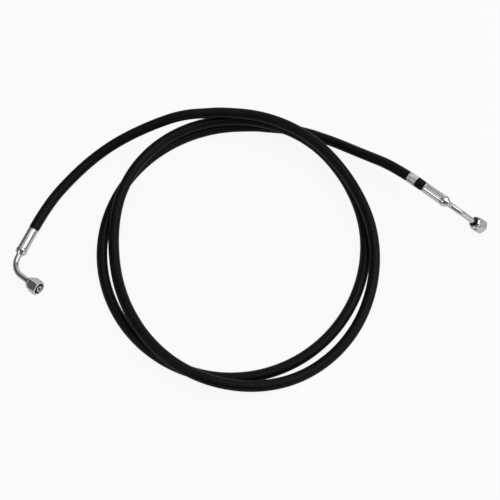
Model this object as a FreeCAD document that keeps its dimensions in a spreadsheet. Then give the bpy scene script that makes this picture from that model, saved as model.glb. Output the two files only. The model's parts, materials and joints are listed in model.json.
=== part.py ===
import FreeCAD
import Part
import Sketcher
import math
import os

from FreeCAD import Placement, Rotation, Vector

# Hydraulic hose assembly: a two-wire rubber hose in a loose coil, with a crimped elbow fitting
# and a swivel nut at each end. Millimetres and degrees, Z up, the floor at Z = 0.

document = FreeCAD.newDocument("hose_assembly")
sheet = document.addObject("Spreadsheet::Sheet", "sizes")

# Driving dimensions
SIZES = {
    # hose, from the bore outwards
    "hose_bore": 6.4,
    "liner_wall": 1.4,
    "inner_braid_wall": 0.7,
    "cushion_wall": 0.35,
    "outer_braid_wall": 0.7,
    "cover_wall": 1.15,
    "layer_gap": 0.05,
    "insert_depth": 27.0,
    # coil
    "coil_centre_x": -20.3,
    "coil_centre_y": 2.5,
    "coil_radius": 191.4,
    "coil_creep": -1.9,
    "coil_start_angle": 97.0,
    "coil_end_angle": -637.0,
    "coil_stations": 16,
    "strand_clearance": 1.3,
    # name band on the hose, bare
    "band_length": 13.8,
    "band_wall": 0.2,
    "band_gap": 0.1,
    "band_from_ferrule": 13.5,
    # ferrule
    "ferrule_length": 39.3,
    "ferrule_lead": 0.6,
    "crimp_diameter": 14.8,
    "shoulder_step": 0.75,
    "shoulder_length": 7.8,
    "shoulder_rise": 1.5,
    "shoulder_round": 1.0,
    "ferrule_end_taper": 3.8,
    "ferrule_end_wall": 0.35,
    "die_marks": 8,
    "die_mark_depth": 0.15,
    "die_mark_margin": 1.2,
    # stem
    "stem_tip": 1.0,
    "stem_bore": 4.0,
    "barb_count": 6,
    "barb_margin": 2.0,
    "barb_ramp": 3.2,
    "barb_height": 0.35,
    "hose_end_gap": 0.3,
    "stop_length": 3.2,
    "stop_diameter": 11.2,
    "lock_length": 3.5,
    "lock_diameter": 9.0,
    "collar_diameter": 12.4,
    "braze_length": 2.5,
    "braze_wall": 0.5,
    "fit_gap": 0.05,
    # bent tube
    "tube_diameter": 8.0,
    "tube_wall": 1.5,
    "tube_straight": 5.5,
    "bend_radius": 26.0,
    "leg_length": 55.0,
    "socket_depth": 6.0,
    # cone nose and its ring
    "nose_tip_diameter": 9.0,
    "nose_cone_length": 8.5,
    "nose_half_angle": 12.0,
    "nose_collar_step": 1.2,
    "nose_collar_length": 4.5,
    "nose_shank_diameter": 10.4,
    "nose_reach": 1.2,
    "ring_section": 1.6,
    "ring_groove_from_tip": 3.6,
    "ring_groove_width": 2.0,
    "ring_groove_diameter": 8.2,
    # thrust wire
    "wire_section": 1.3,
    "wire_play": 0.1,
    "wire_end_gap": 3.1,
    # swivel nut
    "nut_flats": 19.0,
    "nut_length": 18.5,
    "nut_flats_length": 13.0,
    "nut_corner_chamfer": 0.5,
    "nut_crown_ball": 20.0,
    "nut_neck_diameter": 17.8,
    "nut_neck_root": 1.0,
    "nut_rear_taper": 2.5,
    "nut_rear_diameter": 15.2,
    "thread_bore": 14.38,
    "thread_length": 9.5,
    "thread_lead": 0.6,
    "nut_pocket_gap": 0.35,
    "nut_rear_wall": 4.5,
    "nut_turning_gap": 0.15,
    # where the fittings lie
    "left_corner_x": -334.47,
    "left_corner_y": -38.42,
    "left_heading": -112.2,
    "left_pitch": 0.3,
    "left_roll": 7.3,
    "left_turn": 74.9,
    "left_nut_roll": -21.7,
    "right_corner_x": 286.28,
    "right_corner_y": 34.03,
    "right_heading": -43.2,
    "right_pitch": 5.0,
    "right_roll": -60.9,
    "right_turn": 56.0,
    "right_nut_roll": 6.8,
}

for row, (name, value) in enumerate(SIZES.items(), start=1):
    sheet.set(f"A{row}", name)
    sheet.set(f"B{row}", str(value))
    sheet.setAlias(f"B{row}", name)
document.recompute()


SAME = 1e-6


def size(name):
    return float(sheet.get(name))


def value_of(expression):
    result = sheet.evalExpression(expression)
    return float(getattr(result, "Value", result))


# Radii of the hose's layers, as expressions of the sheet
LINER_OUT = "sizes.hose_bore / 2 + sizes.liner_wall"
INNER_BRAID_OUT = f"{LINER_OUT} + sizes.inner_braid_wall"
CUSHION_OUT = f"{INNER_BRAID_OUT} + sizes.cushion_wall"
OUTER_BRAID_OUT = f"{CUSHION_OUT} + sizes.outer_braid_wall"
COVER_OUT = f"{OUTER_BRAID_OUT} + sizes.cover_wall"


def origin_part(body, role):
    return [item for item in body.Origin.OriginFeatures if item.Role == role][0]


# A closed outline of straight lines on one of the body's own planes. Each corner is a pair of
# expressions of the sheet.
def outline(body, name, corners, plane="XY_Plane"):
    sketch = body.newObject("Sketcher::SketchObject", name)
    sketch.AttachmentSupport = [(origin_part(body, plane), "")]
    sketch.MapMode = "FlatFace"
    sketch.Visibility = False
    places = [Vector(value_of(along), value_of(out), 0) for along, out in corners]
    count = len(places)
    for index in range(count):
        sketch.addGeometry(Part.LineSegment(places[index], places[(index + 1) % count]))
    for index in range(count):
        sketch.addConstraint(Sketcher.Constraint("Coincident", index, 2, (index + 1) % count, 1))
    for index, (along, out) in enumerate(corners):
        for kind, expression in (("DistanceX", along), ("DistanceY", out)):
            number = sketch.addConstraint(
                Sketcher.Constraint(kind, -1, 1, index, 1, value_of(expression)))
            sketch.renameConstraint(number, f"{kind}_{index}")
            sketch.setExpression(f"Constraints.{kind}_{index}", expression)
    return sketch


# A piece turned about the X axis from an outline that lies on or above it
def turned(label, corners):
    body = document.addObject("PartDesign::Body", label)
    body.Label = label
    sketch = outline(body, f"{label}_outline", corners)
    turn = body.newObject("PartDesign::Revolution", f"{label}_turned")
    turn.Profile = sketch
    turn.ReferenceAxis = (sketch, ["H_Axis"])
    turn.Angle = 360.0
    return body


# Places along the hose end, measured from the ferrule's mouth towards the bend
CRIMP_END = "sizes.ferrule_length - sizes.shoulder_length"
SHOULDER_RADIUS = "sizes.crimp_diameter / 2 + sizes.shoulder_step"
BARB_PITCH = "(sizes.insert_depth - sizes.stem_tip - sizes.barb_margin) / sizes.barb_count"
STOP_FROM = "sizes.insert_depth + sizes.hose_end_gap"
LOCK_FROM = f"{STOP_FROM} + sizes.stop_length"
LOCK_TO = f"{LOCK_FROM} + sizes.lock_length"
STEM_END = "sizes.ferrule_length + sizes.braze_length"
STEM_SOCKET = f"{STEM_END} - sizes.socket_depth"
SOCKET_RADIUS = "sizes.tube_diameter / 2 + sizes.fit_gap"


def ferrule(side):
    bore = f"{OUTER_BRAID_OUT} + sizes.layer_gap"
    crimp = "sizes.crimp_diameter / 2"
    collar = "sizes.collar_diameter / 2 + sizes.fit_gap"
    lip = "sizes.lock_diameter / 2 + sizes.fit_gap"
    lip_from = f"{LOCK_FROM} + sizes.fit_gap"
    lip_to = f"{LOCK_TO} - sizes.fit_gap"
    taper_from = "sizes.ferrule_length - sizes.ferrule_end_taper"
    body = turned(f"{side}_ferrule", [
        ("0", bore),
        ("0", f"{crimp} - sizes.ferrule_lead / 2"),
        ("sizes.ferrule_lead", crimp),
        (CRIMP_END, crimp),
        (f"{CRIMP_END} + sizes.shoulder_rise", SHOULDER_RADIUS),
        (taper_from, SHOULDER_RADIUS),
        ("sizes.ferrule_length", f"{collar} + sizes.ferrule_end_wall"),
        ("sizes.ferrule_length", collar),
        (lip_to, collar),
        (lip_to, lip),
        (lip_from, lip),
        (lip_from, bore),
    ])
    document.recompute()
    round_shoulder(body)
    die_marks(body)
    return body


def round_shoulder(body):
    base = body.Tip
    wanted = value_of(SHOULDER_RADIUS)
    names = [
        f"Edge{number}" for number, edge in enumerate(base.Shape.Edges, start=1)
        if isinstance(edge.Curve, Part.Circle) and abs(edge.Curve.Radius - wanted) < SAME]
    fillet = body.newObject("PartDesign::Fillet", f"{body.Label}_round")
    fillet.Base = (base, names)
    fillet.setExpression("Radius", "sizes.shoulder_round")


# The flats that the crimping dies leave, all round the crimped length
def die_marks(body):
    floor = "sizes.crimp_diameter / 2 - sizes.die_mark_depth"
    above = "sizes.crimp_diameter / 2 + sizes.die_mark_depth"
    half_width = "sizes.crimp_diameter / 4"
    sketch = outline(body, f"{body.Label}_die", [
        (f"-{half_width}", floor),
        (half_width, floor),
        (half_width, above),
        (f"-{half_width}", above),
    ], "YZ_Plane")
    sketch.setExpression(".AttachmentOffset.Base.z", "sizes.die_mark_margin")
    pocket = body.newObject("PartDesign::Pocket", f"{body.Label}_mark")
    pocket.Profile = sketch
    pocket.Reversed = True
    pocket.setExpression("Length", f"{CRIMP_END} - 2 * sizes.die_mark_margin")
    document.recompute()
    pattern = body.newObject("PartDesign::PolarPattern", f"{body.Label}_marks")
    pattern.Originals = [pocket]
    pattern.Axis = (origin_part(body, "X_Axis"), [""])
    pattern.Angle = 360.0
    pattern.setExpression("Occurrences", "sizes.die_marks")
    body.Tip = pattern


def stem(side):
    crest = "sizes.hose_bore / 2 - sizes.layer_gap"
    root = f"{crest} - sizes.barb_height"
    bore = "sizes.stem_bore / 2"
    corners = [("sizes.stem_tip", bore), ("sizes.stem_tip", root)]
    for barb in range(int(size("barb_count"))):
        drop = f"sizes.stem_tip + {barb} * {BARB_PITCH} + sizes.barb_ramp"
        corners += [(drop, crest), (drop, root)]
        if barb + 1 < int(size("barb_count")):
            corners.append((f"sizes.stem_tip + {barb + 1} * {BARB_PITCH}", root))
    corners += [
        (STOP_FROM, root),
        (STOP_FROM, "sizes.stop_diameter / 2"),
        (LOCK_FROM, "sizes.stop_diameter / 2"),
        (LOCK_FROM, "sizes.lock_diameter / 2"),
        (LOCK_TO, "sizes.lock_diameter / 2"),
        (LOCK_TO, "sizes.collar_diameter / 2"),
        ("sizes.ferrule_length", "sizes.collar_diameter / 2"),
        (STEM_END, "sizes.tube_diameter / 2 + sizes.braze_wall"),
        (STEM_END, SOCKET_RADIUS),
        (STEM_SOCKET, SOCKET_RADIUS),
        (STEM_SOCKET, bore),
    ]
    return turned(f"{side}_stem", corners)


# Places along the leg, measured from the nut's mouth inwards
POCKET_FLOOR = "sizes.nut_length - sizes.nut_rear_wall"
WIRE_PLACE = f"{POCKET_FLOOR} - sizes.wire_play - sizes.wire_section / 2"
COLLAR_BACK = f"{POCKET_FLOOR} - 2 * sizes.wire_play - sizes.wire_section"
NOSE_END = "sizes.nut_length + sizes.nose_reach + sizes.braze_length"
NOSE_SOCKET = f"{NOSE_END} - sizes.socket_depth"
CONE_END = f"{COLLAR_BACK} - sizes.nose_collar_length"
NOSE_TIP = f"{CONE_END} - sizes.nose_cone_length"
RING_FROM = f"{NOSE_TIP} + sizes.ring_groove_from_tip"
RING_TO = f"{RING_FROM} + sizes.ring_groove_width"


def cone_radius(along):
    return f"sizes.nose_tip_diameter / 2 + ({along} - ({NOSE_TIP})) * tan(sizes.nose_half_angle)"


def cone_nose(side):
    bore = "sizes.tube_diameter / 2 - sizes.tube_wall"
    collar = "sizes.nose_shank_diameter / 2 + sizes.nose_collar_step"
    return turned(f"{side}_cone_nose", [
        (NOSE_TIP, bore),
        (NOSE_TIP, "sizes.nose_tip_diameter / 2"),
        (RING_FROM, cone_radius(RING_FROM)),
        (RING_FROM, "sizes.ring_groove_diameter / 2"),
        (RING_TO, "sizes.ring_groove_diameter / 2"),
        (RING_TO, cone_radius(RING_TO)),
        (CONE_END, cone_radius(CONE_END)),
        (CONE_END, collar),
        (COLLAR_BACK, collar),
        (COLLAR_BACK, "sizes.nose_shank_diameter / 2"),
        ("sizes.nut_length + sizes.nose_reach", "sizes.nose_shank_diameter / 2"),
        (NOSE_END, "sizes.tube_diameter / 2 + sizes.braze_wall"),
        (NOSE_END, SOCKET_RADIUS),
        (NOSE_SOCKET, SOCKET_RADIUS),
        (NOSE_SOCKET, bore),
    ])


# Rings round the leg's axis, which is their body's X axis
LEG_RING = Rotation(Vector(0, 1, 0), 90)


def ring(label, radius, section, span):
    torus = document.addObject("Part::Torus", label)
    torus.Label = label
    torus.setExpression("Radius1", radius)
    torus.setExpression("Radius2", section)
    torus.setExpression("Angle3", span)
    return torus


def o_ring(side):
    radius = "(sizes.ring_groove_diameter + sizes.ring_section) / 2 + sizes.fit_gap"
    return ring(f"{side}_o_ring", radius, "sizes.ring_section / 2", "360")


def thrust_wire(side):
    radius = "(sizes.nose_shank_diameter + sizes.wire_section) / 2 + sizes.fit_gap"
    span = f"360 - sizes.wire_end_gap / ({radius}) * 180 / pi"
    return ring(f"{side}_thrust_wire", radius, "sizes.wire_section / 2", span)


# The nut: a hexagon bar whose corners are rounded off by a large ball at each end, with a turned
# neck behind it, bored through
def swivel_nut(side):
    label = f"{side}_swivel_nut"
    body = document.addObject("PartDesign::Body", f"{label}_bar")
    corner = "sizes.nut_flats / sqrt(3)"
    hexagon = outline(body, f"{label}_hexagon", [
        (f"{corner} * cos({turn})", f"{corner} * sin({turn})") for turn in range(0, 360, 60)
    ], "YZ_Plane")
    bar = body.newObject("PartDesign::Pad", f"{label}_pad")
    bar.Profile = hexagon
    bar.setExpression("Length", "sizes.nut_flats_length")
    crown = "sizes.nut_flats / 2 - sizes.nut_corner_chamfer"
    reach = f"sqrt(sizes.nut_crown_ball ^ 2 - ({crown}) ^ 2)"
    head = document.addObject("Part::MultiCommon", f"{label}_head")
    head.Shapes = [body]
    for end, middle in (("mouth", reach), ("rear", f"sizes.nut_flats_length - {reach}")):
        ball = document.addObject("Part::Sphere", f"{label}_{end}_ball")
        ball.setExpression("Radius", "sizes.nut_crown_ball")
        ball.setExpression(".Placement.Base.x", middle)
        head.Shapes += [ball]
    neck_from = "sizes.nut_flats_length - sizes.nut_neck_root"
    neck = turned(f"{label}_neck", [
        (neck_from, "0"),
        (neck_from, "sizes.nut_neck_diameter / 2"),
        ("sizes.nut_length - sizes.nut_rear_taper", "sizes.nut_neck_diameter / 2"),
        ("sizes.nut_length", "sizes.nut_rear_diameter / 2"),
        ("sizes.nut_length", "0"),
    ])
    whole = document.addObject("Part::MultiFuse", f"{label}_whole")
    whole.Shapes = [head, neck]
    rear = "sizes.nose_shank_diameter / 2 + sizes.nut_turning_gap"
    pocket = "sizes.nose_shank_diameter / 2 + sizes.fit_gap + sizes.wire_section + sizes.nut_pocket_gap"
    nut = document.addObject("Part::Cut", label)
    nut.Label = label
    nut.Base = whole
    nut.Tool = turned(f"{label}_bore", [
        ("0", "0"),
        ("0", "sizes.thread_bore / 2 + sizes.thread_lead"),
        ("sizes.thread_lead", "sizes.thread_bore / 2"),
        ("sizes.thread_length", "sizes.thread_bore / 2"),
        ("sizes.thread_length", pocket),
        (POCKET_FLOOR, pocket),
        (POCKET_FLOOR, rear),
        ("sizes.nut_length", rear),
        ("sizes.nut_length", "0"),
    ])
    return nut


# The bent tube: two straight lengths and a torus segment, bored through. Its own X axis runs
# along the hose end into the corner where the two axes meet, which is its origin.
def elbow_tube(side):
    turn = size(f"{side}_turn")
    tangent = size("bend_radius") * math.tan(math.radians(turn / 2))
    leg = Vector(math.cos(math.radians(turn)), math.sin(math.radians(turn)), 0)
    tangent_text = f"sizes.bend_radius * tan(sizes.{side}_turn / 2)"
    straight = f"sizes.ferrule_length + sizes.tube_straight - ({STEM_SOCKET}) - sizes.fit_gap"
    outward = f"sizes.leg_length - {tangent_text} - ({NOSE_SOCKET}) - sizes.fit_gap"
    from_socket = Placement(
        Vector(-tangent - value_of(straight), 0, 0), Rotation(Vector(0, 0, 1), Vector(1, 0, 0)))
    round_bend = Placement(
        Vector(-tangent, size("bend_radius"), 0), Rotation(Vector(0, 0, 1), -90))
    along_leg = Placement(leg * tangent, Rotation(Vector(0, 0, 1), leg))

    def rod(name, radius):
        entry = document.addObject("Part::Cylinder", f"{name}_entry")
        entry.setExpression("Radius", radius)
        entry.setExpression("Height", straight)
        entry.Placement = from_socket
        bend = document.addObject("Part::Torus", f"{name}_bend")
        bend.setExpression("Radius1", "sizes.bend_radius")
        bend.setExpression("Radius2", radius)
        bend.setExpression("Angle3", f"sizes.{side}_turn")
        bend.Placement = round_bend
        way_out = document.addObject("Part::Cylinder", f"{name}_leg")
        way_out.setExpression("Radius", radius)
        way_out.setExpression("Height", outward)
        way_out.Placement = along_leg
        joined = document.addObject("Part::MultiFuse", name)
        joined.Shapes = [entry, bend, way_out]
        return joined

    tube = document.addObject("Part::Cut", f"{side}_elbow_tube")
    tube.Label = f"{side}_elbow_tube"
    tube.Base = rod(f"{side}_tube_outside", "sizes.tube_diameter / 2")
    tube.Tool = rod(f"{side}_tube_bore", "sizes.tube_diameter / 2 - sizes.tube_wall")
    return tube


# A fitting: its axes, its pieces, and its height, at which its nut or its ferrule touches the floor
def fitting(side):
    heading = math.radians(size(f"{side}_heading"))
    pitch = math.radians(size(f"{side}_pitch"))
    along = Vector(
        math.cos(pitch) * math.cos(heading), math.cos(pitch) * math.sin(heading), math.sin(pitch))
    level = Vector(-math.sin(heading), math.cos(heading), 0)
    roll = math.radians(size(f"{side}_roll"))
    across = level * math.cos(roll) + along.cross(level) * math.sin(roll)
    normal = along.cross(across)
    turn = math.radians(size(f"{side}_turn"))
    leg = along * math.cos(turn) + across * math.sin(turn)
    tangent = size("bend_radius") * math.tan(turn / 2)
    hose_axes = Rotation(along, across, normal, "XYZ")
    leg_axes = Rotation(leg * -1, normal.cross(leg * -1), normal, "XYZ")
    leg_axes = leg_axes.multiply(Rotation(Vector(1, 0, 0), size(f"{side}_nut_roll")))

    nut = swivel_nut(side)
    crimped = ferrule(side)
    document.recompute()
    behind = tangent + size("tube_straight") + size("ferrule_length")
    nut.Placement = Placement(leg * size("leg_length"), leg_axes)
    crimped.Placement = Placement(along * -behind, hose_axes)
    lowest = min(piece.Shape.optimalBoundingBox(False, False).ZMin for piece in (nut, crimped))
    corner = Vector(size(f"{side}_corner_x"), size(f"{side}_corner_y"), -lowest)
    mouth = corner + leg * size("leg_length")
    entry = corner - along * behind

    nut.Placement = Placement(mouth, leg_axes)
    cone_nose(side).Placement = Placement(mouth, leg_axes)
    o_ring(side).Placement = Placement(
        mouth - leg * value_of(f"({RING_FROM} + {RING_TO}) / 2"), leg_axes.multiply(LEG_RING))
    thrust_wire(side).Placement = Placement(
        mouth - leg * value_of(WIRE_PLACE), leg_axes.multiply(LEG_RING))
    elbow_tube(side).Placement = Placement(corner, hose_axes)
    stem(side).Placement = Placement(entry, hose_axes)
    crimped.Placement = Placement(entry, hose_axes)
    return entry, along, mouth, leg


left_entry, left_along, left_mouth, left_leg = fitting("left")
right_entry, right_along, right_mouth, right_leg = fitting("right")


# The coil: the radius about its middle swings with the angle, once, twice and three times a turn.
# Each row is the cosine part and its change per turn, then the sine part and its change.
SWINGS = {
    1: (13.2, -11.7, -10.5, 5.8),
    2: (-15.3, 5.7, -10.5, 9.0),
    3: (2.2, -1.3, 1.8, -0.5),
}
# Stretches that ride on a strand below: rising from, rising to, falling from, falling to, in degrees
RIDES = [
    (200, 150, 63, 17),
    (160, 110, 8, -40),
    (-60, -104, -138, -180),
    (-165, -208, -297, -338),
]
ANGLE_STEP = 0.01
HOSE_RADIUS = value_of(COVER_OUT)


def eased(angle, begin, end):
    share = min(max((angle - begin) / (end - begin), 0.0), 1.0)
    return 0.5 - 0.5 * math.cos(math.pi * share)


def coil_point(angle):
    turns = (90.0 - angle) / 360.0
    radius = size("coil_radius") + size("coil_creep") * turns
    for order, (cosine, cosine_change, sine, sine_change) in SWINGS.items():
        swing = math.radians(order * angle)
        radius += (cosine + cosine_change * turns) * math.cos(swing)
        radius += (sine + sine_change * turns) * math.sin(swing)
    height = HOSE_RADIUS
    for rise_from, rise_to, fall_from, fall_to in RIDES:
        share = eased(angle, rise_from, rise_to) - eased(angle, fall_from, fall_to)
        height += (2 * HOSE_RADIUS + size("strand_clearance")) * share
    x = size("coil_centre_x") + radius * math.cos(math.radians(angle))
    y = size("coil_centre_y") + radius * math.sin(math.radians(angle))
    return Vector(x, y, height)


def coil_direction(angle):
    ahead = coil_point(angle - ANGLE_STEP) - coil_point(angle + ANGLE_STEP)
    return ahead.normalize()


# An arc that leaves one point in a given direction and ends at another
def arc_from(start, direction, end):
    chord = end - start
    aside = (chord - direction * chord.dot(direction)).normalize()
    half_turn = math.atan2(chord.dot(aside), chord.dot(direction))
    radius = chord.Length / (2 * math.sin(half_turn))
    rise = radius * (1 - math.cos(half_turn))
    middle = start + direction * (radius * math.sin(half_turn)) + aside * rise
    return Part.Arc(start, middle, end).toShape()


# Two arcs between two points with given directions, in one tangent line where they meet
def arc_pair(start, direction, end, end_direction):
    chord = end - start
    both = direction + end_direction
    spread = 2 * (1 - direction.dot(end_direction))
    along = chord.dot(both)
    reach = (math.sqrt(along * along + spread * chord.dot(chord)) - along) / spread
    meeting = (start + end + (direction - end_direction) * reach) * 0.5
    meeting_direction = (end - end_direction * reach - start - direction * reach).normalize()
    return [
        arc_from(start, direction, meeting),
        arc_from(meeting, meeting_direction, end),
    ]


coil_angles = [
    size("coil_start_angle")
    + (size("coil_end_angle") - size("coil_start_angle")) * station / size("coil_stations")
    for station in range(int(size("coil_stations")) + 1)
]
coil_in = coil_point(coil_angles[0])
coil_in_direction = coil_direction(coil_angles[0])
coil_out = coil_point(coil_angles[-1])
coil_out_direction = coil_direction(coil_angles[-1])
left_joint = coil_in - coil_in_direction * (2 * HOSE_RADIUS)
right_joint = coil_out + coil_out_direction * (2 * HOSE_RADIUS)

coil_edges = [Part.LineSegment(left_joint, coil_in).toShape()]
for angle, following in zip(coil_angles, coil_angles[1:]):
    coil_edges += arc_pair(
        coil_point(angle), coil_direction(angle), coil_point(following), coil_direction(following))
coil_edges.append(Part.LineSegment(coil_out, right_joint).toShape())

# The free ends of the hose, from the left ferrule to the coil and from the coil to the right ferrule.
# Each place is its X, its Y and how far the hose is lifted off the floor there.
def lifted(x, y, lift):
    return Vector(x, y, HOSE_RADIUS + lift)


ROUNDING = 0.45
BAND_MARGIN = 1.3
LEFT_END_RUN = 44.0
COIL_EXIT_RUN = 50.0
right_end_run = size("band_from_ferrule") + size("band_length") + BAND_MARGIN
right_end_run = right_end_run / (1 - ROUNDING)
left_route = [
    left_entry,
    left_entry - left_along * LEFT_END_RUN,
    lifted(-262.3, 105.5, 1.5),
    lifted(-231.3, 136.5, 6.5),
    lifted(-195.3, 160.5, 15),
    lifted(-149.3, 180.5, 24.5),
    left_joint - coil_in_direction * LEFT_END_RUN,
    left_joint,
]
right_route = [
    right_joint,
    right_joint + coil_out_direction * COIL_EXIT_RUN,
    lifted(117.5, 170.2, 1),
    lifted(161.8, 140.4, 12.5),
    right_entry - right_along * right_end_run,
    right_entry,
]


def rounded_route(points, name):
    edges = []
    radii = []
    start = points[0]
    for before, corner, after in zip(points, points[1:], points[2:]):
        back = (before - corner).normalize()
        ahead = (after - corner).normalize()
        half_turn = (math.pi - back.getAngle(ahead)) / 2
        setback = ROUNDING * min((before - corner).Length, (after - corner).Length)
        radii.append(setback / math.tan(half_turn))
        bisector = (back + ahead).normalize()
        to_middle = radii[-1] / math.cos(half_turn) - radii[-1]
        arc_start = corner + back * setback
        arc_end = corner + ahead * setback
        edges.append(Part.LineSegment(start, arc_start).toShape())
        edges.append(Part.Arc(arc_start, corner + bisector * to_middle, arc_end).toShape())
        start = arc_end
    edges.append(Part.LineSegment(start, points[-1]).toShape())
    print(name, "arc radii", [round(radius) for radius in radii])
    return edges


for name, mouth, leg in (("left", left_mouth, left_leg), ("right", right_mouth, right_leg)):
    print(name, "nut mouth", [round(place, 3) for place in mouth], [round(part, 5) for part in leg])
for name, entry in (("left", left_entry), ("right", right_entry)):
    print(name, "ferrule mouth", [round(place, 3) for place in entry])
left_edges = rounded_route(left_route, "left run")
right_edges = rounded_route(right_route, "right run")


# A tube along a path: a swept rod with a swept bore
def swept(name, path, radius):
    first = path.Shape.OrderedEdges[0]
    start = first.valueAt(first.FirstParameter)
    heading = first.tangentAt(first.FirstParameter)
    circle = document.addObject("Part::Circle", f"{name}_circle")
    circle.setExpression("Radius", radius)
    circle.Placement = Placement(start, Rotation(Vector(0, 0, 1), heading))
    sweep = document.addObject("Part::Sweep", name)
    sweep.Sections = [circle]
    sweep.Spine = (path, [f"Edge{number}" for number in range(1, len(path.Shape.Edges) + 1)])
    sweep.Solid = True
    return sweep


def path_of(name, edges):
    path = document.addObject("Part::Feature", name)
    path.Shape = Part.Wire(edges)
    return path


tubes = []


def tube_along(label, path, inside, outside):
    tube = document.addObject("Part::Cut", label)
    tube.Label = label
    tube.Base = swept(f"{label}_rod", path, outside)
    tube.Tool = swept(f"{label}_bore", path, inside)
    ring_area = math.pi * (value_of(outside) ** 2 - value_of(inside) ** 2)
    tubes.append((tube, ring_area * path.Shape.Length))


left_inside = left_entry + left_along * size("insert_depth")
right_inside = right_entry + right_along * size("insert_depth")
whole_path = path_of("whole_path", [
    Part.LineSegment(left_inside, left_entry).toShape(),
    *left_edges,
    *coil_edges,
    *right_edges,
    Part.LineSegment(right_entry, right_inside).toShape(),
])
left_path = path_of("left_path", left_edges)
coil_path = path_of("coil_path", coil_edges)
right_path = path_of("right_path", right_edges)

GAP = "sizes.layer_gap"
for label, path in (("left_run", left_path), ("coil", coil_path), ("right_run", right_path)):
    tube_along(f"hose_cover_{label}", path, f"{OUTER_BRAID_OUT} + {GAP}", COVER_OUT)
tube_along("hose_liner", whole_path, "sizes.hose_bore / 2", LINER_OUT)
tube_along("hose_inner_braid", whole_path, f"{LINER_OUT} + {GAP}", INNER_BRAID_OUT)
tube_along("hose_cushion_layer", whole_path, f"{INNER_BRAID_OUT} + {GAP}", CUSHION_OUT)
tube_along("hose_outer_braid", whole_path, f"{CUSHION_OUT} + {GAP}", OUTER_BRAID_OUT)

# The bare silver band, square to the hose where it leaves the right ferrule
band_inside = document.addObject("Part::Cylinder", "band_inside")
band_outside = document.addObject("Part::Cylinder", "band_outside")
band_radius = f"{COVER_OUT} + sizes.band_gap"
band_inside.setExpression("Radius", band_radius)
band_outside.setExpression("Radius", f"{band_radius} + sizes.band_wall")
band_inside.setExpression("Height", "sizes.band_length")
band_outside.setExpression("Height", "sizes.band_length")
band = document.addObject("Part::Cut", "id_label_band")
band.Label = "id_label_band"
band.Base = band_outside
band.Tool = band_inside
band.Placement = Placement(
    right_entry - right_along * size("band_from_ferrule"),
    Rotation(Vector(0, 0, 1), right_along * -1))
document.recompute()

# Checks before anything is written
NODES = ["id_label_band", "hose_liner", "hose_inner_braid", "hose_cushion_layer", "hose_outer_braid"]
NODES += [f"hose_cover_{part}" for part in ("left_run", "coil", "right_run")]
for side in ("left", "right"):
    for piece in ("ferrule", "stem", "elbow_tube", "cone_nose", "o_ring", "thrust_wire", "swivel_nut"):
        NODES.append(f"{side}_{piece}")

for item in document.Objects:
    if "Invalid" in item.State or "Error" in item.State:
        raise RuntimeError(f"{item.Name} failed: {item.State}")
pieces = {node: document.getObjectsByLabel(node)[0] for node in NODES}
for node, piece in pieces.items():
    if piece.Shape.isNull() or not piece.Shape.isValid():
        raise RuntimeError(f"{node} has no valid shape")

for tube, wanted in tubes:
    print(tube.Label, "volume", round(tube.Shape.Volume), "of", round(wanted))
print("hose length between the ferrules", round(sum(
    path.Shape.Length for path in (left_path, coil_path, right_path)), 1))

# The coil's least gap to itself, on points along its path
POINT_STEP = 4.0
NEAR = 6 * HOSE_RADIUS
coil_length = coil_path.Shape.Length
count = int(coil_length / POINT_STEP)
points = coil_path.Shape.discretize(Number=count)
skip = int(NEAR / (coil_length / count))
least = min(
    points[first].distanceToPoint(points[second])
    for first in range(count) for second in range(first + skip, count))
print("least gap between the coil's strands", round(least - 2 * HOSE_RADIUS, 2))

os.makedirs("parts", exist_ok=True)
for node, piece in pieces.items():
    piece.Shape.exportStep(f"parts/{node}.step")
print(len(pieces), "nodes written")
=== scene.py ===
import json
import math

import bmesh
import bpy
from mathutils import Matrix, Vector


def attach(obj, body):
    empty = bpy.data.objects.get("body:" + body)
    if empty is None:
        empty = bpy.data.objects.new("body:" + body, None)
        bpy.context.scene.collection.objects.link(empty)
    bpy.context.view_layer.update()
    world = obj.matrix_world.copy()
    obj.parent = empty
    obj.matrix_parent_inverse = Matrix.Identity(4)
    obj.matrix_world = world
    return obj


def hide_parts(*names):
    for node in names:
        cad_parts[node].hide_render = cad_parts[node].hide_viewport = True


# A hydraulic hose assembly on a pale floor: a black hose in a loose coil, with a crimped ferrule,
# a bent tube and a hexagon swivel nut at each end. Metres, Z up.

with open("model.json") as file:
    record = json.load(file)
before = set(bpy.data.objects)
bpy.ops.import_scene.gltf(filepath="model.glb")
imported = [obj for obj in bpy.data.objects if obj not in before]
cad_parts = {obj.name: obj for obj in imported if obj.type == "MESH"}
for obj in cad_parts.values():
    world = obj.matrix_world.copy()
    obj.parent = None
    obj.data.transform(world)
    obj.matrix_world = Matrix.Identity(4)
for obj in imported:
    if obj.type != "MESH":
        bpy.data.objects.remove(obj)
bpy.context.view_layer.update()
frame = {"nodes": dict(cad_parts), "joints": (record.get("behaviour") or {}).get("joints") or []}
ROOT = "hose_and_fittings"
SIDES = ("left", "right")

# Camera: where the photograph was taken from
PHOTO_SIDE = 500
LENS_PIXELS = 912.6
SENSOR = 36.0
CAMERA_TARGET = Vector((-0.0027, -0.0093, 0.0075))
CAMERA_DISTANCE = 1.2812
CAMERA_ELEVATION = math.radians(65.0)


def make_camera():
    data = bpy.data.cameras.new("camera")
    data.sensor_width = SENSOR
    data.sensor_fit = "HORIZONTAL"
    data.lens = LENS_PIXELS / PHOTO_SIDE * SENSOR
    camera = bpy.data.objects.new("camera", data)
    bpy.context.scene.collection.objects.link(camera)
    away = Vector((0.0, -math.cos(CAMERA_ELEVATION), math.sin(CAMERA_ELEVATION)))
    camera.location = CAMERA_TARGET + away * CAMERA_DISTANCE
    camera.rotation_euler = (-away).to_track_quat("-Z", "Y").to_euler()
    bpy.context.scene.camera = camera


make_camera()

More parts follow.
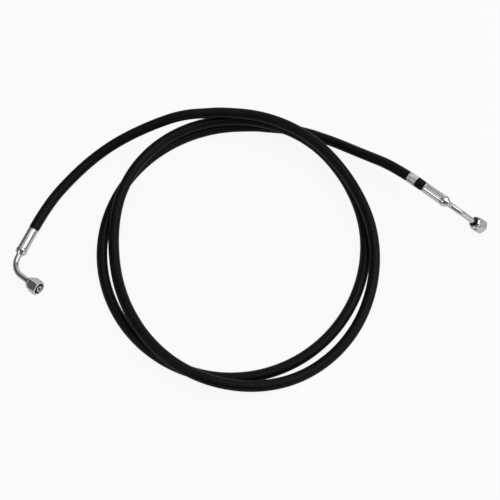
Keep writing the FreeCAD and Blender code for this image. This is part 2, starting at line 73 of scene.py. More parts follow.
# The fittings' axes. The nut turns about the leg's axis, and its mouth is where the joint is.
LEG_LENGTH = 0.055
BEND_RADIUS = 0.026
TUBE_STRAIGHT = 0.0055
FERRULE_LENGTH = 0.0393
HEADINGS = {"left": (-112.2, 0.3), "right": (-43.2, 5.0)}
NUT_ROLLS = {"left": -21.7, "right": 6.8}


# A frame at a point, with its X and Y axes along the given directions
def placed(point, x_axis, y_axis):
    z_axis = x_axis.cross(y_axis).normalized()
    axes = Matrix((x_axis, y_axis, z_axis)).transposed().to_4x4()
    return Matrix.Translation(point) @ axes


class Fitting:
    def __init__(self, side):
        joint = next(item for item in frame["joints"] if item["name"] == f"{side}_nut_turn")
        self.mouth = Vector(joint["pos_m"])
        self.leg = Vector(joint["axis"]).normalized()
        heading, pitch = (math.radians(angle) for angle in HEADINGS[side])
        self.along = Vector((
            math.cos(pitch) * math.cos(heading),
            math.cos(pitch) * math.sin(heading),
            math.sin(pitch)))
        corner = self.mouth - self.leg * LEG_LENGTH
        tangent = BEND_RADIUS * math.tan(self.along.angle(self.leg) / 2)
        self.entry = corner - self.along * (tangent + TUBE_STRAIGHT + FERRULE_LENGTH)
        normal = self.along.cross(self.leg).normalized()
        self.ferrule_place = placed(self.entry, self.along, normal.cross(self.along))
        roll = Matrix.Rotation(math.radians(NUT_ROLLS[side]), 3, -self.leg)
        self.nut_place = placed(self.mouth, -self.leg, roll @ normal.cross(-self.leg))


fittings = {side: Fitting(side) for side in SIDES}

# The hose's route: chosen points for the free ends, and a formula for the coil
HOSE_DIAMETER = 0.015
HOSE_RADIUS = HOSE_DIAMETER / 2
STRAND_CLEARANCE = 0.0013
COIL_CENTRE = Vector((-0.0203, 0.0025))
COIL_RADIUS = 0.1914
COIL_CREEP = -0.0019
COIL_START = 97.0
COIL_END = -637.0

# By how many waves it makes a turn, each swing of the coil's radius: the cosine's size and its
# change a turn, then the sine's size and its change a turn
SWINGS = {
    1: (0.0132, -0.0117, -0.0105, 0.0058),
    2: (-0.0153, 0.0057, -0.0105, 0.0090),
    3: (0.0022, -0.0013, 0.0018, -0.0005),
}

# Where the coil rides over another strand: it rises from one angle to the next, then falls
RIDES = [
    (200, 150, 63, 17),
    (160, 110, 8, -40),
    (-60, -104, -138, -180),
    (-165, -208, -297, -338),
]
COIL_STEPS = 49

# The free ends: x, y and lift
LEFT_TAIL = (
    (-0.2623, 0.1055, 0.0015),
    (-0.2313, 0.1365, 0.0065),
    (-0.1953, 0.1605, 0.015),
    (-0.1493, 0.1805, 0.0245),
)
RIGHT_TAIL = (
    (0.1175, 0.1695, 0.001),
    (0.1618, 0.1397, 0.0125),
)
LEFT_END_RUN = 0.044
COIL_EXIT_RUN = 0.050
RIGHT_END_RUN = 0.052
DIRECTION_STEP = 0.01
SPLINE_RESOLUTION = 16

# A smooth spline runs inside its points: round a circle of points one step apart, its radius is
# (3 + cos step) / 4 of theirs. The coil's points stand out by as much, so that it keeps its size.
COIL_STEP = (COIL_END - COIL_START) / COIL_STEPS
STAND_OUT = 4 / (3 + math.cos(math.radians(COIL_STEP)))


def eased(value, begin, end):
    share = min(max((value - begin) / (end - begin), 0.0), 1.0)
    return 0.5 - 0.5 * math.cos(math.pi * share)


def coil_point(angle):
    turns = (90.0 - angle) / 360.0
    radius = COIL_RADIUS + COIL_CREEP * turns
    for order, (cosine, cosine_change, sine, sine_change) in SWINGS.items():
        swing = math.radians(order * angle)
        radius += (cosine + cosine_change * turns) * math.cos(swing)
        radius += (sine + sine_change * turns) * math.sin(swing)
    radius *= STAND_OUT
    height = HOSE_RADIUS
    for rise_from, rise_to, fall_from, fall_to in RIDES:
        share = eased(angle, rise_from, rise_to) - eased(angle, fall_from, fall_to)
        height += (HOSE_DIAMETER + STRAND_CLEARANCE) * share
    x = COIL_CENTRE.x + radius * math.cos(math.radians(angle))
    y = COIL_CENTRE.y + radius * math.sin(math.radians(angle))
    return Vector((x, y, height))


def coil_direction(angle):
    ahead = coil_point(angle - DIRECTION_STEP) - coil_point(angle + DIRECTION_STEP)
    return ahead.normalized()


def lifted(x, y, lift):
    return Vector((x, y, HOSE_RADIUS + lift))


def hose_route():
    left, right = fittings["left"], fittings["right"]
    coil = [coil_point(COIL_START + COIL_STEP * step) for step in range(COIL_STEPS + 1)]
    way_in, way_out = coil_direction(COIL_START), coil_direction(COIL_END)
    left_joint = coil[0] - way_in * HOSE_DIAMETER
    right_joint = coil[-1] + way_out * HOSE_DIAMETER
    return [
        left.entry,
        left.entry - left.along * LEFT_END_RUN,
        *(lifted(*point) for point in LEFT_TAIL),
        left_joint - way_in * LEFT_END_RUN,
        left_joint,
        *coil,
        right_joint,
        right_joint + way_out * COIL_EXIT_RUN,
        *(lifted(*point) for point in RIGHT_TAIL),
        right.entry - right.along * RIGHT_END_RUN,
        right.entry,
    ]


# The points along a smooth curve through the route, read from the curve itself
def spline_points(points):
    data = bpy.data.curves.new("route", "CURVE")
    data.dimensions = "3D"
    spline = data.splines.new("NURBS")
    spline.points.add(len(points) - 1)
    for control, point in zip(spline.points, points):
        control.co = (*point, 1.0)
    spline.order_u = 3
    spline.use_endpoint_u = True
    spline.resolution_u = SPLINE_RESOLUTION
    holder = bpy.data.objects.new("route", data)
    bpy.context.scene.collection.objects.link(holder)
    line = bpy.data.meshes.new_from_object(holder)
    found = [vertex.co.copy() for vertex in line.vertices]
    bpy.data.objects.remove(holder)
    bpy.data.curves.remove(data)
    bpy.data.meshes.remove(line)
    return found


# A place along the hose: its centre, two directions across it, and the length so far
class Station:
    def __init__(self, centre, side, other, length):
        self.centre = centre
        self.side = side
        self.other = other
        self.length = length

    def out(self, angle, radius):
        return self.centre + (self.side * math.cos(angle) + self.other * math.sin(angle)) * radius

    def towards(self, following, share):
        return Station(
            self.centre.lerp(following.centre, share),
            self.side.lerp(following.side, share).normalized(),
            self.other.lerp(following.other, share).normalized(),
            self.length + (following.length - self.length) * share)


# Stations along a line, kept from twisting
def stations_along(points):
    stations = []
    side = Vector((0.0, 0.0, 1.0))
    length = 0.0
    for index, point in enumerate(points):
        before = points[max(index - 1, 0)]
        after = points[min(index + 1, len(points) - 1)]
        heading = (after - before).normalized()
        side = (side - heading * side.dot(heading)).normalized()
        length += (point - before).length
        stations.append(Station(point, side, heading.cross(side), length))
    return stations


def station_at(stations, length):
    for station, following in zip(stations, stations[1:]):
        if following.length >= length:
            share = (length - station.length) / (following.length - station.length)
            return station.towards(following, share)
    return stations[-1]


# Meshes: rows of points that run round a piece, joined into quads
SHARP_EDGE = math.radians(32.0)


def skin(name, rows, closed=False, lay=None):
    count = len(rows[0])
    faces = []
    corners = []
    for row in range(len(rows) if closed else len(rows) - 1):
        following = (row + 1) % len(rows)
        for column in range(count):
            beside = (column + 1) % count
            faces.append((
                row * count + column,
                row * count + beside,
                following * count + beside,
                following * count + column))
            corners += [(row, column), (row, column + 1), (row + 1, column + 1), (row + 1, column)]
    if not closed:
        faces.append(tuple(reversed(range(count))))
        faces.append(tuple(range((len(rows) - 1) * count, len(rows) * count)))
    mesh = bpy.data.meshes.new(name)
    mesh.from_pydata([point for row in rows for point in row], [], faces)
    if lay:
        layer = mesh.uv_layers.new(name="lay")
        for corner, (row, column) in zip(layer.data, corners):
            corner.uv = (lay[0][row], lay[1][column])
    work = bmesh.new()
    work.from_mesh(mesh)
    bmesh.ops.recalc_face_normals(work, faces=work.faces)
    work.to_mesh(mesh)
    work.free()
    mesh.shade_smooth()
    mesh.set_sharp_from_angle(angle=SHARP_EDGE)
    made = bpy.data.objects.new(name, mesh)
    bpy.context.scene.collection.objects.link(made)
    return made


def angles_round(count):
    return [2 * math.pi * step / count for step in range(count)]


# A row round the X axis of a place, whose radius depends on the angle
def row_round(place, along, angles, radius_at):
    row = []
    for angle in angles:
        radius = radius_at(angle)
        row.append(place @ Vector((along, radius * math.cos(angle), radius * math.sin(angle))))
    return row


# An outline of (along, out, rounding) corners, with a short curve at each that has a rounding
ROUND_STEPS = 4


def softened(corners):
    points = []
    for index, (along, out, rounding) in enumerate(corners):
        corner = Vector((along, out))
        if not rounding:
            points.append(corner)
            continue
        before = (Vector(corners[index - 1][:2]) - corner).normalized()
        after = (Vector(corners[(index + 1) % len(corners)][:2]) - corner).normalized()
        setback = rounding / math.tan(before.angle(after) / 2)
        start, end = corner + before * setback, corner + after * setback
        for step in range(ROUND_STEPS + 1):
            share = step / ROUND_STEPS
            points.append(start.lerp(corner, share).lerp(corner.lerp(end, share), share))
    return points


# The hose, drawn in a little where each ferrule squeezes it
HOSE_SIDES = 48
HOSE_INSIDE = 0.005
SQUEEZED_RADIUS = 0.0068
SQUEEZE_RUN = 0.006
SQUEEZE_STEPS = 8
INSIDE_STEPS = 3
HOSE_NODES = (
    "hose_cover_left_run", "hose_cover_coil", "hose_cover_right_run",
    "hose_liner", "hose_inner_braid", "hose_cushion_layer", "hose_outer_braid")


def inside_stations(end, outward):
    steps = [HOSE_INSIDE * step / INSIDE_STEPS for step in range(1, INSIDE_STEPS + 1)]
    sign = 1 if end.length else -1
    return [
        Station(end.centre + outward * step, end.side, end.other, end.length + sign * step)
        for step in steps]


# More stations beside a ferrule, where the hose narrows
def squeeze_stations(stations):
    total = stations[-1].length
    steps = [SQUEEZE_RUN * (step + 0.5) / SQUEEZE_STEPS for step in range(SQUEEZE_STEPS)]
    lengths = [*steps, *(total - step for step in steps)]
    return [station_at(stations, length) for length in lengths]


def make_hose(stations):
    total = stations[-1].length
    before = inside_stations(stations[0], fittings["left"].along)
    after = inside_stations(stations[-1], fittings["right"].along)
    free = sorted([*stations, *squeeze_stations(stations)], key=lambda station: station.length)
    whole = [*reversed(before), *free, *after]
    angles = angles_round(HOSE_SIDES)
    rows = []
    for station in whole:
        nearest = min(station.length, total - station.length)
        share = eased(nearest, 0.0, SQUEEZE_RUN)
        radius = SQUEEZED_RADIUS + (HOSE_RADIUS - SQUEEZED_RADIUS) * share
        rows.append([station.out(angle, radius) for angle in angles])
    around = [HOSE_RADIUS * angle for angle in [*angles, 2 * math.pi]]
    hose = skin("hose", rows, lay=([station.length for station in whole], around))
    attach(hose, ROOT)
    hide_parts(*HOSE_NODES)
    return hose


hose_line = spline_points(hose_route())
hose_stations = stations_along(hose_line)
hose = make_hose(hose_stations)

# The bare silver band: a film wrapped round the hose, with one edge over the other
BAND_FROM_FERRULE = 0.0135
BAND_LENGTH = 0.0138
BAND_INSIDE = 0.00752
BAND_WALL = 0.00018
BAND_OVERLAP = math.radians(75.0)
BAND_EDGE = math.radians(4.0)
BAND_SIDES = 144
BAND_STEPS = 30
BAND_WAVE = 0.00004

# The band's waves: how many round the hose, how fast they turn along it, and where they start
BAND_WAVES = ((3, 900, 0.0), (7, -1500, 1.0))


def band_radius(angle, along):
    wave = sum(math.sin(order * angle + rate * along + phase) for order, rate, phase in BAND_WAVES)
    step = BAND_WALL * (1 - eased(angle, BAND_OVERLAP, BAND_OVERLAP + BAND_EDGE))
    return BAND_INSIDE + BAND_WALL + step + BAND_WAVE * wave


def make_band(stations):
    angles = angles_round(BAND_SIDES)
    far = stations[-1].length - BAND_FROM_FERRULE
    places = [-BAND_LENGTH * step / BAND_STEPS for step in range(BAND_STEPS + 1)]
    rows = []
    for place in places:
        station = station_at(stations, far + place)
        rows.append([station.out(angle, band_radius(angle, place)) for angle in angles])
    for place in (places[-1], places[0]):
        station = station_at(stations, far + place)
        rows.append([station.out(angle, BAND_INSIDE) for angle in angles])
    band = skin("name_band", rows, closed=True)
    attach(band, ROOT)
    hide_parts("id_label_band")
    return band


band = make_band(hose_stations)

# The ferrules. Eight dies press the crimped length in and leave a ridge between each two. The
# outline runs along the outside to the shoulder and back through the bore.
FERRULE_SIDES = 240
CRIMP_RADIUS = 0.0074
LIP_RADIUS = 0.00725
SHOULDER_RADIUS = 0.00815
COLLAR_RADIUS = 0.00625
LOCK_RADIUS = 0.00455
GRIP_RADIUS = 0.0064
MOUTH_RADIUS = 0.0069
DIE_COUNT = 8
DIE_ROLL = math.radians(18.5)
DIE_DEPTH = 0.00015
DIE_FROM = 0.0012
DIE_TO = 0.0303
DIE_RAMP = 0.0012
DIE_FLATNESS = 0.1
RIDGE_HEIGHT = 0.00018
RIDGE_HALF_WIDTH = math.radians(4.5)
FERRULE_STEP = 0.0004
FERRULE_OUTLINE = (
    (0.0, MOUTH_RADIUS, 0.00015),
    (0.0, LIP_RADIUS, 0.00025),
    (0.0010, CRIMP_RADIUS, 0.0),
    (0.0315, CRIMP_RADIUS, 0.0006),
    (0.0330, SHOULDER_RADIUS, 0.0007),
    (0.0355, SHOULDER_RADIUS, 0.0009),
    (FERRULE_LENGTH, 0.0066, 0.0003),
    (FERRULE_LENGTH, COLLAR_RADIUS, 0.00015),
    (0.03395, COLLAR_RADIUS, 0.0),
    (0.03395, LOCK_RADIUS, 0.0),
    (0.03055, LOCK_RADIUS, 0.0),
    (0.03055, GRIP_RADIUS, 0.0),
    (0.0060, GRIP_RADIUS, 0.0),
    (0.0060, MOUTH_RADIUS, 0.0),
)


def die_shape(along, angle):
    pressed = eased(along, DIE_FROM, DIE_FROM + DIE_RAMP) - eased(along, DIE_TO - DIE_RAMP, DIE_TO)
    pitch = 2 * math.pi / DIE_COUNT
    from_die = (angle - DIE_ROLL + pitch / 2) % pitch - pitch / 2
    flat = CRIMP_RADIUS * (1 / math.cos(from_die) - 1) * DIE_FLATNESS
    from_ridge = pitch / 2 - abs(from_die)
    ridge = RIDGE_HEIGHT * (1 - eased(from_ridge, 0.0, RIDGE_HALF_WIDTH))
    return pressed * (flat + ridge - DIE_DEPTH)


# More points along the crimped length, where the dies change the radius
def with_steps(outline, begin, end, step):
    made = []
    for point, following in zip(outline, [*outline[1:], outline[0]]):
        made.append(point)
        if min(point.y, following.y) > LIP_RADIUS and point.x < end and following.x > begin:
            pieces = max(round((following.x - point.x) / step), 1)
            made += [point.lerp(following, piece / pieces) for piece in range(1, pieces)]
    return made


def make_ferrule(side):
    angles = angles_round(FERRULE_SIDES)
    outline = with_steps(softened(FERRULE_OUTLINE), DIE_FROM, DIE_TO, FERRULE_STEP)
    rows = []
    for along, out in outline:
        outside = out > LIP_RADIUS
        rows.append(row_round(
            fittings[side].ferrule_place, along, angles,
            lambda angle: out + (die_shape(along, angle) if outside else 0.0)))
    piece = skin(f"{side}_crimped_ferrule", rows, closed=True)
    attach(piece, ROOT)
    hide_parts(f"{side}_ferrule")
    return piece


# The swivel nuts: a hexagon with its corners rounded off by a large ball at each end, and a thread
NUT_SIDES = 240
NUT_FLATS = 0.019
NUT_LENGTH = 0.0185
NUT_FLATS_LENGTH = 0.013
CROWN_BALL = 0.020
CROWN_RADIUS = 0.0090
CROWN_DEPTH = 0.0016
CROWN_STEP = 0.00008
EDGE_BLEND = 0.00025
CROWN_BLEND = 0.00008
THREAD_PITCH = 0.0015
THREAD_MINOR = 0.00719
THREAD_MAJOR = 0.0080
THREAD_LENGTH = 0.0095
THREAD_FADE = 0.0012
THREAD_STEP = 0.00009375
FLANK_END = 0.375
FLANK_WIDTH = 0.3125
LEAD_RADIUS = 0.00785

# The nut from its pocket round its rear. The first and last corners only steer the curves.
POCKET_RADIUS = 0.0069
POCKET_FLOOR = 0.0140
REAR_HOLE_RADIUS = 0.00535
NECK_RADIUS = 0.0089
NUT_REAR = (
    (0.0, POCKET_RADIUS, 0.0),
    (THREAD_LENGTH, POCKET_RADIUS, 0.0001),
    (POCKET_FLOOR, POCKET_RADIUS, 0.0002),
    (POCKET_FLOOR, REAR_HOLE_RADIUS, 0.0002),
    (NUT_LENGTH, REAR_HOLE_RADIUS, 0.0003),
    (NUT_LENGTH, 0.0076, 0.0004),
    (0.0160, NECK_RADIUS, 0.0006),
    (NUT_FLATS_LENGTH, NECK_RADIUS, 0.0002),
    (NUT_FLATS_LENGTH, CROWN_RADIUS, 0.0),
)


# The smaller of two lengths, with a soft change from one to the other
def smaller(first, second, blend):
    share = min(max(0.5 + 0.5 * (second - first) / blend, 0.0), 1.0)
    return second + (first - second) * share - blend * share * (1 - share)


def hexagon_radius(angle):
    sixth = math.pi / 3
    from_flat = abs((angle - math.pi / 2 + sixth / 2) % sixth - sixth / 2)
    near = NUT_FLATS / 2 / math.cos(from_flat)
    beside = NUT_FLATS / 2 / math.cos(sixth - from_flat)
    return smaller(near, beside, EDGE_BLEND)


def crown_radius(from_end):
    middle = math.sqrt(CROWN_BALL ** 2 - CROWN_RADIUS ** 2)
    return math.sqrt(CROWN_BALL ** 2 - (middle - from_end) ** 2)


def nut_outside(along, angle):
    from_end = min(along, NUT_FLATS_LENGTH - along)
    return smaller(hexagon_radius(angle), crown_radius(from_end), CROWN_BLEND)


# A groove winds round the bore. Its flanks are shares of the pitch, measured from its middle.
def thread_radius(along, angle):
    phase = (along / THREAD_PITCH - angle / (2 * math.pi)) % 1.0
    from_middle = abs(phase - 0.5)
    depth = min(max((FLANK_END - from_middle) / FLANK_WIDTH, 0.0), 1.0)
    depth *= 1 - eased(along, THREAD_LENGTH - THREAD_FADE, THREAD_LENGTH)
    return max(THREAD_MINOR + (THREAD_MAJOR - THREAD_MINOR) * depth, LEAD_RADIUS - along)


def make_nut(side):
    place = fittings[side].nut_place
    angles = angles_round(NUT_SIDES)
    rows = []
    thread_steps = round(THREAD_LENGTH / THREAD_STEP)
    for step in range(thread_steps):
        along = THREAD_LENGTH * step / thread_steps
        rows.append(row_round(place, along, angles, lambda angle: thread_radius(along, angle)))
    for along, out in softened(NUT_REAR)[1:-1]:
        rows.append(row_round(place, along, angles, lambda angle: out))
    crown_steps = round(CROWN_DEPTH / CROWN_STEP)
    crown = [CROWN_DEPTH * step / crown_steps for step in range(crown_steps + 1)]
    for along in [*(NUT_FLATS_LENGTH - depth for depth in crown), *reversed(crown)]:
        rows.append(row_round(place, along, angles, lambda angle: nut_outside(along, angle)))
    piece = skin(f"{side}_threaded_nut", rows, closed=True)
    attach(piece, f"{side}_nut")
    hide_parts(f"{side}_swivel_nut")
    return piece


ferrules = {side: make_ferrule(side) for side in SIDES}
nuts = {side: make_nut(side) for side in SIDES}


# Materials: nodes are added one by one, each input a plain value or another node's output.
# A noise mostly stays between these two values, which a spread widens to a range of its own.
NOISE_LOW = 0.3
NOISE_HIGH = 0.7


class Nodes:
    def __init__(self, tree):
        self.tree = tree

    def put(self, socket, value):
        if isinstance(value, bpy.types.NodeSocket):
            self.tree.links.new(value, socket)
        else:
            socket.default_value = value

    def node(self, kind, inputs, **settings):
        made = self.tree.nodes.new(f"ShaderNode{kind}")
        for name, value in settings.items():
            setattr(made, name, value)
        for key, value in inputs.items():
            self.put(made.inputs[key], value)
        return made

    def calc(self, operation, first, second=0.0):
        return self.node("Math", {0: first, 1: second}, operation=operation).outputs[0]

    def ramp(self, value, low, high, to_low, to_high):
        return self.node("MapRange", {
            "Value": value, "From Min": low, "From Max": high, "To Min": to_low, "To Max": to_high,
        }).outputs[0]

    def spread(self, noise, to_low, to_high):
        return self.ramp(noise, NOISE_LOW, NOISE_HIGH, to_low, to_high)

    def noise(self, where, scale, detail=3.0, roughness=0.5):
        return self.node("TexNoise", {
            "Vector": where, "Scale": scale, "Detail": detail, "Roughness": roughness,
        }).outputs["Fac"]

    def blend(self, share, first, second):
        colors = [
            color if isinstance(color, bpy.types.NodeSocket) else (*color, 1.0)
            for color in (first, second)]
        return self.node(
            "Mix", {0: share, 6: colors[0], 7: colors[1]}, data_type="RGBA").outputs[2]

    def bump(self, height, distance):
        return self.node("Bump", {"Height": height, "Distance": distance}).outputs["Normal"]

    # How much of the white background a ray sees: the metal sees less of it than the camera
    def white_share(self, seen, mirrored):
        path = self.node("LightPath", {}).outputs
        direct = self.calc("MAXIMUM", path["Is Camera Ray"], path["Is Transmission Ray"])
        return self.calc(
            "MAXIMUM", self.calc("MULTIPLY", direct, seen),
            self.calc("MULTIPLY", path["Is Glossy Ray"], mirrored))


class Finish(Nodes):
    def __init__(self, name):
        self.material = bpy.data.materials.new(name)
        self.material.use_nodes = True
        super().__init__(self.material.node_tree)
        self.shader = self.tree.nodes["Principled BSDF"]

    def shade(self, **inputs):
        for name, value in inputs.items():
            self.put(self.shader.inputs[name.replace("_", " ").title()], value)

    def object_place(self):
        return self.node("TexCoord", {}).outputs["Object"]

    # The object's coordinates seen from a place, then stretched
    def local(self, place, stretch=(1.0, 1.0, 1.0)):
        back = place.inverted()
        turned = self.node("Mapping", {
            "Vector": self.object_place(),
            "Location": back.to_translation(),
            "Rotation": back.to_euler(),
        }).outputs[0]
        return self.node("Mapping", {"Vector": turned, "Scale": stretch}).outputs[0]

    def give(self, *pieces):
        for piece in pieces:
            piece.data.materials.clear()
            piece.data.materials.append(self.material)


# Black cover rubber with the print of the cloth that it was cured in, and the wrap's spiral edge
CLOTH_PITCH = 0.0009
CLOTH_THREADS = 52
WRAP_PITCH = 0.045
WRAP_EDGE = 0.03
CLOTH_SHARE = 0.25
GRAIN_SHARE = 0.5
RUBBER_BLOTCHES = 45.0
RUBBER_GRAIN = 2600.0
RUBBER_DARK = (0.0016, 0.0016, 0.0018)
RUBBER_LIGHT = (0.0058, 0.0058, 0.0062)
RUBBER_ROUGHNESS = (0.34, 0.50)
RUBBER_SPECULAR = 0.12
RUBBER_RELIEF = 0.00008


def cover_rubber():
    finish = Finish("cover_rubber")
    lay = finish.node("UVMap", {}, uv_map="lay").outputs[0]
    split = finish.node("SeparateXYZ", {0: lay}).outputs
    turn = finish.calc("DIVIDE", split[1], 2 * math.pi * HOSE_RADIUS)
    along_thread = finish.calc("SINE", finish.calc("MULTIPLY", split[0], 2 * math.pi / CLOTH_PITCH))
    round_thread = finish.calc("SINE", finish.calc("MULTIPLY", turn, 2 * math.pi * CLOTH_THREADS))
    cloth = finish.calc("MULTIPLY", along_thread, round_thread)
    wraps = finish.calc("ADD", finish.calc("DIVIDE", split[0], WRAP_PITCH), turn)
    edge = finish.ramp(finish.calc("FRACT", wraps), 0.0, WRAP_EDGE, 1.0, 0.0)
    place = finish.object_place()
    blotch = finish.noise(place, RUBBER_BLOTCHES, detail=5.0, roughness=0.6)
    grain = finish.noise(place, RUBBER_GRAIN, detail=2.0)
    print_height = finish.calc("MULTIPLY", cloth, CLOTH_SHARE)
    grain_height = finish.calc("MULTIPLY", grain, GRAIN_SHARE)
    height = finish.calc("ADD", finish.calc("ADD", print_height, grain_height), edge)
    finish.shade(
        base_color=finish.blend(blotch, RUBBER_DARK, RUBBER_LIGHT),
        roughness=finish.spread(blotch, *RUBBER_ROUGHNESS),
        normal=finish.bump(height, RUBBER_RELIEF))
    finish.shader.inputs["Specular IOR Level"].default_value = RUBBER_SPECULAR
    return finish


# Bright zinc plating over machined steel. Its marks run where the noise is scaled down: round
# the X axis, along it or neither. Painted shade darkens it inside the nut's mouth and, up to a
# smaller radius, in the recess round the braze behind the nut.
ROUND_MARKS = (1.0, 0.02, 0.02)
LONG_MARKS = (0.02, 1.0, 1.0)
EVEN_MARKS = (1.0, 1.0, 1.0)
STEEL_MARKS = 2500.0
STEEL_CLOUDS = 160.0
STEEL_PEEL = 900.0
STEEL_DARK = (0.56, 0.565, 0.575)
STEEL_LIGHT = (0.68, 0.685, 0.695)
STEEL_ROUGHNESS = (0.10, 0.18)
STEEL_RELIEF = 0.000006
MARK_ROUGHNESS = 0.07
MARK_SHARE = 0.5
# The dark colour and roughness of the painted shade in the nut's mouth and its rear recess
PAINTED_SHADE_STEEL = (0.035, 0.034, 0.033)
PAINTED_SHADE_ROUGHNESS = 0.35
SHADE_EDGE = 0.0003
SHADE_RADIUS = 0.0079
REAR_SHADE_RADIUS = 0.0066
REAR_SHADE_FROM = 0.0145
NUT_SHADE_DEPTH = 0.0002
NOSE_SHADE_DEPTH = 0.0009


# The share of painted shade: none in front of the depth, nor further from the axis than the edge
def painted_shade_share(finish, place, depth):
    split = finish.node("SeparateXYZ", {0: finish.local(place)}).outputs
    squares = [finish.calc("MULTIPLY", axis, axis) for axis in (split[1], split[2])]
    from_axis = finish.calc("SQRT", finish.calc("ADD", *squares))
    edge = finish.ramp(
        split[0], REAR_SHADE_FROM, REAR_SHADE_FROM + SHADE_EDGE, SHADE_RADIUS, REAR_SHADE_RADIUS)
    within = finish.calc("SUBTRACT", edge, from_axis)
    inside = finish.ramp(within, 0.0, SHADE_EDGE, 0.0, 1.0)
    return finish.calc("MULTIPLY", inside, finish.ramp(split[0], depth, depth + SHADE_EDGE, 0.0, 1.0))


def plated_steel(name, place, marks, shade_depth=None):
    finish = Finish(name)
    even = finish.object_place()
    lines = finish.noise(finish.local(place, marks), STEEL_MARKS, roughness=0.6)
    cloud = finish.noise(even, STEEL_CLOUDS, detail=4.0, roughness=0.55)
    peel = finish.noise(even, STEEL_PEEL, detail=2.0)
    height = finish.calc("ADD", finish.calc("MULTIPLY", lines, MARK_SHARE), peel)
    roughness = finish.calc(
        "ADD", finish.spread(cloud, *STEEL_ROUGHNESS), finish.spread(lines, 0.0, MARK_ROUGHNESS))
    color = finish.blend(cloud, STEEL_DARK, STEEL_LIGHT)
    if shade_depth:
        # Painted shade: the steel is darkened deep in the nut's mouth, on the nose and in the
        # recess behind
        share = painted_shade_share(finish, place, shade_depth)
        color = finish.blend(share, color, PAINTED_SHADE_STEEL)
        shade_roughness = finish.calc("MULTIPLY", share, PAINTED_SHADE_ROUGHNESS)
        roughness = finish.calc("MAXIMUM", roughness, shade_roughness)
    finish.shade(
        base_color=color, metallic=1.0, roughness=roughness,
        normal=finish.bump(height, STEEL_RELIEF))
    return finish


SEAL_BLOTCHES = 700.0
SEAL_GRAIN = 5000.0
SEAL_DARK = (0.006, 0.006, 0.006)
SEAL_LIGHT = (0.013, 0.013, 0.013)
SEAL_ROUGHNESS = (0.28, 0.42)
SEAL_RELIEF = 0.00001


def seal_rubber():
    finish = Finish("seal_rubber")
    place = finish.object_place()
    blotch = finish.noise(place, SEAL_BLOTCHES)
    finish.shade(
        base_color=finish.blend(blotch, SEAL_DARK, SEAL_LIGHT),
        roughness=finish.spread(blotch, *SEAL_ROUGHNESS),
        normal=finish.bump(finish.noise(place, SEAL_GRAIN, detail=2.0), SEAL_RELIEF))
    return finish


# Bare silver film, dull and bright in patches
FILM_CLOUDS = 160.0
FILM_CREASES = 300.0
FILM_DARK = (0.46, 0.46, 0.465)
FILM_LIGHT = (0.90, 0.90, 0.90)
FILM_EDGES = (0.35, 0.65)
FILM_METAL = 0.4
FILM_ROUGHNESS = (0.26, 0.42)
FILM_RELIEF = 0.00012


def label_film():
    finish = Finish("label_film")
    place = finish.object_place()
    cloud = finish.noise(place, FILM_CLOUDS, detail=4.0, roughness=0.6)
    patches = finish.ramp(cloud, *FILM_EDGES, 0.0, 1.0)
    finish.shade(
        base_color=finish.blend(patches, FILM_DARK, FILM_LIGHT),
        metallic=FILM_METAL,
        roughness=finish.spread(cloud, *FILM_ROUGHNESS),
        normal=finish.bump(finish.noise(place, FILM_CREASES), FILM_RELIEF))
    return finish


def dress():
    cover_rubber().give(hose)
    label_film().give(band)
    seal = seal_rubber()
    for side in SIDES:
        at_hose = fittings[side].ferrule_place
        at_nut = fittings[side].nut_place
        nodes = {
            part: frame["nodes"][f"{side}_{part}"]
            for part in ("stem", "elbow_tube", "cone_nose", "o_ring", "thrust_wire")}
        seal.give(nodes["o_ring"])
        # The nut and the nose get painted shade beyond their depths
        steels = (
            ("ferrule", ferrules[side], at_hose, LONG_MARKS, None),
            ("stem", nodes["stem"], at_hose, ROUND_MARKS, None),
            ("nut", nuts[side], at_nut, LONG_MARKS, NUT_SHADE_DEPTH),
            ("nose", nodes["cone_nose"], at_nut, ROUND_MARKS, NOSE_SHADE_DEPTH),
            ("tube", nodes["elbow_tube"], at_hose, EVEN_MARKS, None),
            ("wire", nodes["thrust_wire"], at_nut, EVEN_MARKS, None),
        )
        for part, piece, place, marks, shade_depth in steels:
            plated_steel(f"{side}_{part}_steel", place, marks, shade_depth).give(piece)


dress()

# Floor and light. The white shares say how white the camera and the metal see each.
FLOOR_RADIUS = 6.0
FLOOR_SIDES = 96
FLOOR_COLOR = (0.85, 0.85, 0.85, 1.0)
FLOOR_ROUGHNESS = 0.9
FLOOR_WHITE = 0.91
FLOOR_IN_METAL = 0.35


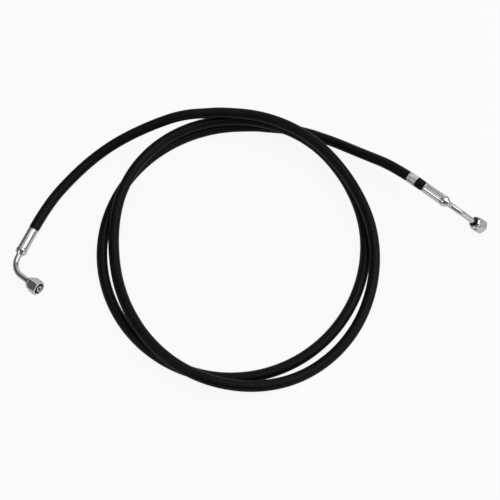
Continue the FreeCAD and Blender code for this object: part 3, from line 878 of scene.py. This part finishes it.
def make_floor():
    work = bmesh.new()
    bmesh.ops.create_circle(work, cap_ends=True, segments=FLOOR_SIDES, radius=FLOOR_RADIUS)
    mesh = bpy.data.meshes.new("floor")
    work.to_mesh(mesh)
    work.free()
    floor = bpy.data.objects.new("floor", mesh)
    bpy.context.scene.collection.objects.link(floor)
    finish = Finish("pale_floor")
    finish.shade(base_color=FLOOR_COLOR, roughness=FLOOR_ROUGHNESS)
    finish.shader.inputs["Specular IOR Level"].default_value = 0.0
    white = finish.node("Emission", {"Strength": 1.0}).outputs[0]
    mixed = finish.node("MixShader", {
        "Fac": finish.white_share(FLOOR_WHITE, FLOOR_IN_METAL),
        1: finish.shader.outputs[0],
        2: white,
    }).outputs[0]
    finish.put(finish.tree.nodes["Material Output"].inputs["Surface"], mixed)
    finish.give(floor)


# Each lamp: azimuth, elevation, distance, width, height, power
LAMPS = {
    "key": (5.0, 52.0, 2.4, 2.6, 2.5, 31.0),
    "overhead": (90.0, 84.0, 2.4, 2.4, 2.4, 8.1),
    "back": (84.0, 22.0, 2.4, 2.4, 2.1, 10.0),
    "left": (214.0, 33.0, 1.5, 0.7, 0.75, 2.9),
    "horizon": (326.0, 8.0, 2.6, 2.6, 1.0, 8.2),
}
WORLD_GREY = 0.10
WORLD_WHITE = 0.95
WORLD_IN_METAL = 0.02


def make_world():
    world = bpy.data.worlds.new("studio")
    bpy.context.scene.world = world
    world.use_nodes = True
    nodes = Nodes(world.node_tree)
    share = nodes.white_share(WORLD_WHITE, WORLD_IN_METAL)
    color = nodes.blend(share, (WORLD_GREY, WORLD_GREY, WORLD_GREY), (1.0, 1.0, 1.0))
    nodes.put(nodes.tree.nodes["Background"].inputs["Color"], color)


def make_lamps():
    for name, (azimuth, elevation, distance, width, height, power) in LAMPS.items():
        data = bpy.data.lights.new(name, "AREA")
        data.shape = "RECTANGLE"
        data.size = width
        data.size_y = height
        data.energy = power
        lamp = bpy.data.objects.new(name, data)
        bpy.context.scene.collection.objects.link(lamp)
        turn, rise = math.radians(azimuth), math.radians(elevation)
        away = Vector((
            math.cos(rise) * math.cos(turn), math.cos(rise) * math.sin(turn), math.sin(rise)))
        lamp.location = away * distance
        lamp.rotation_euler = (-away).to_track_quat("-Z", "Y").to_euler()


make_floor()
make_world()
make_lamps()
bpy.context.scene.view_settings.view_transform = "Standard"
